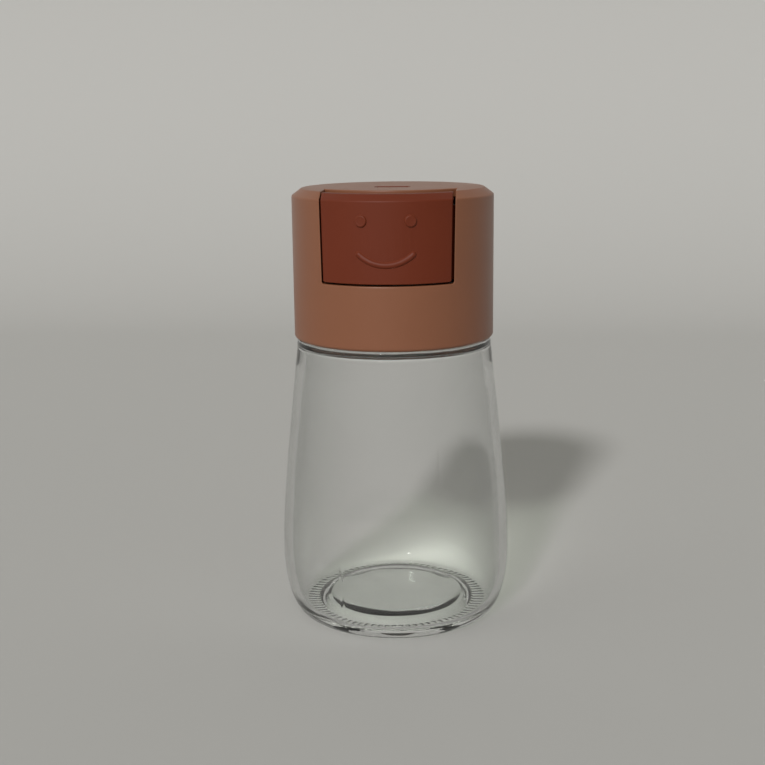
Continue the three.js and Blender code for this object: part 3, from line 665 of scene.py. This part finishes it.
def tongueSocket():  # holds the shuttle's barb
    low, high, mouth = button["tongueSlotLow"], button["tongueSlotHigh"], button["tongueMouth"]
    socket = block("socket", button["socketLow"], button["socketHigh"])
    opening = block("tongueMouth", (-mouth, high[1] - over, low[2]),
                    (mouth, button["socketHigh"][1] + over, high[2]))
    return combined(socket, "DIFFERENCE", block("tongueSlot", low, high), opening)


def pressButton():
    radius, bore, lip, sink = button["radius"], button["bore"], window["lipBore"], button["sink"]
    foot, top, rear = buttonLow.z, buttonHigh.z, buttonHigh.y
    drop = button["chamferDrop"]
    ledgeLow, ledgeTop = button["ledge"]
    profile = rounded([
        (bore, foot - over, 0), (radius, foot - over, 0), (radius, top - drop, 0),
        (radius - drop * shell["chamferRun"] / shell["chamferDrop"], top, 0), (lip, top, 0),
        (lip, ledgeLow + sink, 0), (bore, ledgeLow + sink, 0)])
    panel = turned("pressButtonMoulding", profile, button["steps"], loop=True)
    combined(panel, "INTERSECT", windowBlock(button["corner"], *window["gaps"]))
    half, wing, front, back = button["ledgeHalf"], button["wingFrom"], button["ledgeFront"], button["ledgeRear"]
    reach = math.degrees(math.asin(half / front))
    plan = [(half, rear), (wing, rear), (wing, back), (-wing, back), (-wing, rear), (-half, rear)]
    plan += arc(0, 0, front, frontAngle - reach, frontAngle + reach, button["ledgeSteps"])
    parts = [prism("ledge", plan, ledgeLow, ledgeTop)]
    parts += [prism("hook", hookOutline(side), foot + sink, button["hookTop"]) for side in (-1, 1)]
    combined(panel, "UNION", *parts, tongueSocket(), smileCurve(), smileEye(-1), smileEye(1))
    past, above = bore + button["roundPast"], ledgeTop + button["roundAbove"]
    return softened(panel, button["cutRound"], lambda p: p.xy.length > past or p.z > above)


finished(pressButton(), rustAbs, "press_button", "button")

collar = {
    "bore": 23.8, "wall": 1.9, "round": 0.3, "steps": 240, "rowHeight": 0.35, "plainEnds": 0.5, "threadEnds": 0.4,
    "bead": 0.65, "beadLevel": 83.6, "beadBelow": 0.55, "beadAbove": 0.5, "beadRound": 0.15,
    "keyWidth": 2.6, "keyOut": 0.8, "keyRoot": 0.6, "keyHeight": 8, "keyTop": 95,
}


def collarRelief(row, radius, height, angle):
    level = thread["neckLevel"] - thread["lead"] / thread["starts"] / 2
    ends = collar["threadEnds"]
    if radius < collar["bore"] + near and capLow.z + ends < height < collarHigh.z - ends:
        radius -= threadRelief(angle, height, thread["collarTurns"], level, thread["collarDelay"])
    return radius, height


def screwCollar():
    low, high, bore, soft = capLow.z, collarHigh.z, collar["bore"], collar["round"]
    outer, bead = bore + collar["wall"], collar["beadLevel"]
    outline = rounded([
        (bore, low, soft), (outer, low, soft), (outer, bead - collar["beadBelow"], 0),
        (outer + collar["bead"], bead, collar["beadRound"]), (outer, bead + collar["beadAbove"], 0),
        (outer, high, soft), (bore, high, soft)])
    plain = collar["plainEnds"]
    length = high - low - 2 * plain
    rows = int(length / collar["rowHeight"])
    bored = [(bore, high - plain - length * i / rows) for i in range(rows + 1)]
    piece = turned("collarThreadRing", outline + bored, collar["steps"], loop=True, relief=collarRelief)
    keys = [spoke("key", a, outer - collar["keyRoot"], outer + collar["keyOut"], collar["keyWidth"],
                  collar["keyTop"] - collar["keyHeight"], collar["keyTop"]) for a in shell["keyAngles"]]
    return combined(piece, "UNION", *keys)


finished(screwCollar(), terracottaAbs, "screw_collar", "cap")

hopper = {
    "deck": 1.6, "deckRing": 10, "round": 0.3, "steps": 120, "sides": 60,
    "wall": 2, "mouthRadius": 16, "inletRadius": 6.09, "funnelTop": 109.2, "funnelFrom": 0.4, "funnelSink": 0.5,
    "channelLow": 108.7, "channelTop": 110.3, "channelHalf": 11, "channelFront": -11.7, "channelRear": 21.3,
    "channelWall": 1.6, "wallFrom": -4, "wallSink": 0.3, "wallLap": 0.5,
    "inset": 0.01,  # keeps joined faces out of one plane
    "rib": 1.8, "ribSink": 0.4, "ribShort": 0.3, "boreLap": 0.2,
    "postRadius": 1.5, "postLength": 4, "postSides": 24,
}


def funnelCone(name, widen, low, high):  # leaning cone from the deck's middle to the inlet
    run = hopper["funnelTop"] - hopperLow.z
    rings = []
    for level in (low, high):
        share = (level - hopperLow.z) / run
        radius = hopper["mouthRadius"] + (hopper["inletRadius"] - hopper["mouthRadius"]) * share + widen
        rings.append([(x, y, level) for x, y in circle(0, passage["inletY"] * share, radius, hopper["sides"])])
    return skin(name, rings)


def channelWalls():  # the back and both sides of the shuttle's channel, and the rib under it
    half, wall, rear = hopper["channelHalf"], hopper["channelWall"], hopper["channelRear"]
    rearIn, top, inset = rear - wall, hopperHigh.z, hopper["inset"]
    foot = hopper["channelLow"] + hopper["wallSink"]
    walls = [block("rearWall", (-half + inset, rearIn, foot), (half - inset, rear - inset, top))]
    for side in (-1, 1):
        inner, outer = sorted((side * (half - wall), side * (half - 2 * inset)))
        walls.append(block("channelWall", (inner, hopper["wallFrom"], foot),
                           (outer, rearIn + hopper["wallLap"], top - inset)))
    ribHalf, sink = hopper["rib"] / 2, hopper["ribSink"]
    walls.append(block("supportRib", (-ribHalf, 0, hopperLow.z + hopper["deck"] - sink),
                       (ribHalf, rear - hopper["ribShort"], hopper["channelLow"] + sink)))
    return walls


def hopperFunnel():
    low, deckTop, ring = hopperLow.z, hopperLow.z + hopper["deck"], hopper["deckRing"]
    edge, soft = hopperHigh.x, hopper["round"]
    deck = rounded([(ring, low, 0), (edge, low, soft), (edge, deckTop, soft), (ring, deckTop, 0)], closed=False)
    piece = turned("hopperFunnel", deck, hopper["steps"])
    half, floorLow, floorTop = hopper["channelHalf"], hopper["channelLow"], hopper["channelTop"]
    front, rear = hopper["channelFront"], hopper["channelRear"]
    cone = funnelCone("funnel", hopper["wall"], low + hopper["funnelFrom"], floorLow + hopper["funnelSink"])
    combined(piece, "UNION", cone, block("channelFloor", (-half, front, floorLow), (half, rear, floorTop)))
    combined(piece, "UNION", *channelWalls())
    rearIn = rear - hopper["channelWall"]
    postFront, postRear = rearIn - hopper["postLength"], rearIn + hopper["wallLap"]
    for node in springs:
        middle = middleOf(node)
        ring = circle(middle.x, middle.z, hopper["postRadius"], hopper["postSides"])
        combined(piece, "UNION", prism("post", ring, postFront, postRear, "y"))
    wiperLow, wiperHigh = boxOf("inlet_wiper")
    bore = circle(0, passage["inletY"], hopper["inletRadius"], hopper["sides"])
    return combined(piece, "DIFFERENCE", funnelCone("funnelBore", 0, low - over, hopper["funnelTop"]),
                    prism("inletBore", bore, hopper["funnelTop"] - hopper["boreLap"], floorTop + over),
                    wiperRecess("inlet_wiper", wiperLow.z - wiper["gap"], wiperHigh.z + over))


finished(hopperFunnel(), naturalPolypropylene, "hopper", "cap")


def wiperFrame(name, node, y):  # soft frame round the passage
    low, high = boxOf(node)
    piece = block(name, low, high, wiper["corner"])
    combined(piece, "DIFFERENCE", passageCut("passage", y, low.z - over, high.z + over))
    softened(piece, wiper["round"], segments=2)
    return finished(piece, siliconeFinish, node, "cap")


wiperFrame("inletWiperFrame", "inlet_wiper", passage["inletY"])
wiperFrame("outletWiperFrame", "outlet_wiper", passage["outletY"])

shuttle = {"front": -18.5, "round": 0.2, "ledgeGap": 0.3, "springHole": 3.2, "holeDepth": 4.3, "holeSides": 48,
           "tongueHalf": 5, "tongue": (112.3, 116.3), "barbLength": 1.6, "barbHalf": 6}


def shuttleBlock():
    low, high, front, gap = shuttleLow, shuttleHigh, shuttle["front"], shuttle["ledgeGap"]
    piece = block("shuttleBlock", (low.x, front, low.z), high)
    cuts = [passageCut("pocket", passage["inletY"], low.z - over, high.z + over)]
    # the front is lower, to pass under the button's ledge
    cuts.append(block("ledgeRoom", (low.x - over, front - over, button["ledge"][0] - gap),
                      (high.x + over, button["ledgeRear"] + gap, high.z + over)))
    for node in springs:
        middle = middleOf(node)
        ring = circle(middle.x, middle.z, shuttle["springHole"], shuttle["holeSides"])
        cuts.append(prism("springHole", ring, high.y - shuttle["holeDepth"], high.y + over, "y"))
    combined(piece, "DIFFERENCE", *cuts)
    softened(piece, shuttle["round"], segments=2)
    reach, barb, root = shuttle["tongueHalf"], shuttle["barbHalf"], front + over
    tip, shoulder = low.y, low.y + shuttle["barbLength"]
    plan = [(-reach, root), (-reach, shoulder), (-barb, shoulder), (-reach, tip), (reach, tip), (barb, shoulder),
            (reach, shoulder), (reach, root)]
    return combined(piece, "UNION", prism("tongue", plan, *shuttle["tongue"]))


finished(shuttleBlock(), naturalPolypropylene, "metering_shuttle", "button")

spring = {"wire": 0.7, "coils": 8, "closedCoils": 1, "stepsPerCoil": 28, "sides": 10, "pressed": 7}


def returnSpring(node, name):  # round wire, its end coils wound close
    low, high = boxOf(node)
    middle, thick, closedCoils = (low + high) / 2, spring["wire"], spring["closedCoils"]
    radius = (high.x - low.x - thick) / 2
    openCoils = spring["coils"] - 2 * closedCoils
    pitch = (high.y - low.y - thick - 2 * closedCoils * thick) / openCoils
    path = []
    y = low.y + thick / 2
    for i in range(spring["coils"] * spring["stepsPerCoil"] + 1):
        turn = i / spring["stepsPerCoil"]
        angle = 2 * math.pi * turn
        path.append((middle.x + radius * math.cos(angle), y, middle.z + radius * math.sin(angle)))
        closed = turn < closedCoils or turn >= spring["coils"] - closedCoils
        y += (thick if closed else pitch) / spring["stepsPerCoil"]
    piece = swept(name, path, [thick / 2] * len(path), spring["sides"])
    finished(piece, springSteel, node, "cap", sharp=50)
    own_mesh(piece)


for node, name in springs.items():
    returnSpring(node, name)
print("pieces made")

stage = {"paper": "#BAB8B5", "front": -3000, "half": 3000, "flat": 450, "bend": 400, "bendSteps": 32,
         "height": 1600, "fibre": 0.8, "fibreDepth": 0.03}


def paperSweep():  # one sheet of pale paper: the floor, curving up far behind the object
    line = [(stage["front"], 0), (stage["flat"], 0)]
    line += arc(stage["flat"], stage["bend"], stage["bend"], -90, 0, stage["bendSteps"])[1:]
    line.append((stage["flat"] + stage["bend"], stage["height"]))
    points = [Vector((side * stage["half"], y, z)) * mm for side in (-1, 1) for y, z in line]
    count = len(line)
    mesh = bpy.data.meshes.new("paperSweep")
    mesh.from_pydata(points, [], [[i, count + i, count + i + 1, i + 1] for i in range(count - 1)])
    mesh.shade_smooth()
    sheet = bpy.data.objects.new("paperSweep", mesh)
    scene.collection.objects.link(sheet)
    # uncoated paper: dull and even, with short fibres that only show as a faint tooth
    material, tree, place = newMaterial("uncoatedPaper")
    fibre = addNode(tree, "TexNoise", {"Vector": place, "Scale": 1 / (stage["fibre"] * mm), "Detail": 3})
    bump = addNode(tree, "Bump", {"Height": fibre.outputs["Fac"], "Strength": 0.2,
                                  "Distance": stage["fibreDepth"] * mm})
    paper = addNode(tree, "BsdfPrincipled", {
        "Base Color": linear(stage["paper"]), "Roughness": 0.9, "Specular IOR Level": 0.2,
        "Normal": bump.outputs["Normal"]})
    addNode(tree, "OutputMaterial", {"Surface": paper.outputs["BSDF"]})
    mesh.materials.append(material)


paperSweep()

light = {"roomLeft": "#B8BAB5", "roomRight": "#868884", "sun": 1.95, "sunSize": 6, "sunLeft": 19, "sunHeight": 33}
view = {"azimuth": 4.0, "distance": 361, "height": 144.3, "pitch": 12.15, "yaw": 0.54, "roll": -0.68, "lens": 60.8}

world = bpy.data.worlds.new("room")
scene.world = world
world.use_nodes = True
tree = world.node_tree
tree.nodes.clear()
# the room is brighter on the lamp's side
way = addNode(tree, "SeparateXYZ", {"Vector": addNode(tree, "TexCoord", {}).outputs["Generated"]})
across = addNode(tree, "MapRange", {"Value": way.outputs["X"], "From Min": -0.7, "From Max": 0.9})
tone = addNode(tree, "Mix", {0: across.outputs["Result"], 6: linear(light["roomLeft"]),
                             7: linear(light["roomRight"])}, data_type="RGBA")
room = addNode(tree, "Background", {"Color": tone.outputs[2], "Strength": 1})
addNode(tree, "OutputWorld", {"Surface": room.outputs["Background"]})

azimuth = math.radians(view["azimuth"])
lamp = bpy.data.objects.new("keyLamp", bpy.data.lights.new("keyLamp", "SUN"))
lamp.data.energy = light["sun"]
lamp.data.angle = math.radians(light["sunSize"])
left = azimuth - math.radians(light["sunLeft"])
rise = math.radians(light["sunHeight"])
towards = Vector((math.sin(left) * math.cos(rise), -math.cos(left) * math.cos(rise), math.sin(rise)))
lamp.rotation_euler = (-towards).to_track_quat("-Z", "Y").to_euler()
scene.collection.objects.link(lamp)

camera = bpy.data.objects.new("camera", bpy.data.cameras.new("camera"))
camera.data.lens = view["lens"]
camera.data.clip_start = 0.01
spot = Vector((math.sin(azimuth) * view["distance"], -math.cos(azimuth) * view["distance"], view["height"]))
turn = Matrix.Rotation(azimuth + math.radians(view["yaw"]), 4, "Z")
tilt = Matrix.Rotation(math.radians(90 - view["pitch"]), 4, "X")
roll = Matrix.Rotation(math.radians(view["roll"]), 4, "Z")
camera.matrix_world = Matrix.Translation(spot * mm) @ turn @ tilt @ roll
scene.collection.objects.link(camera)
scene.camera = camera
scene.view_settings.view_transform = "Standard"
print("stage, lamp and camera made")
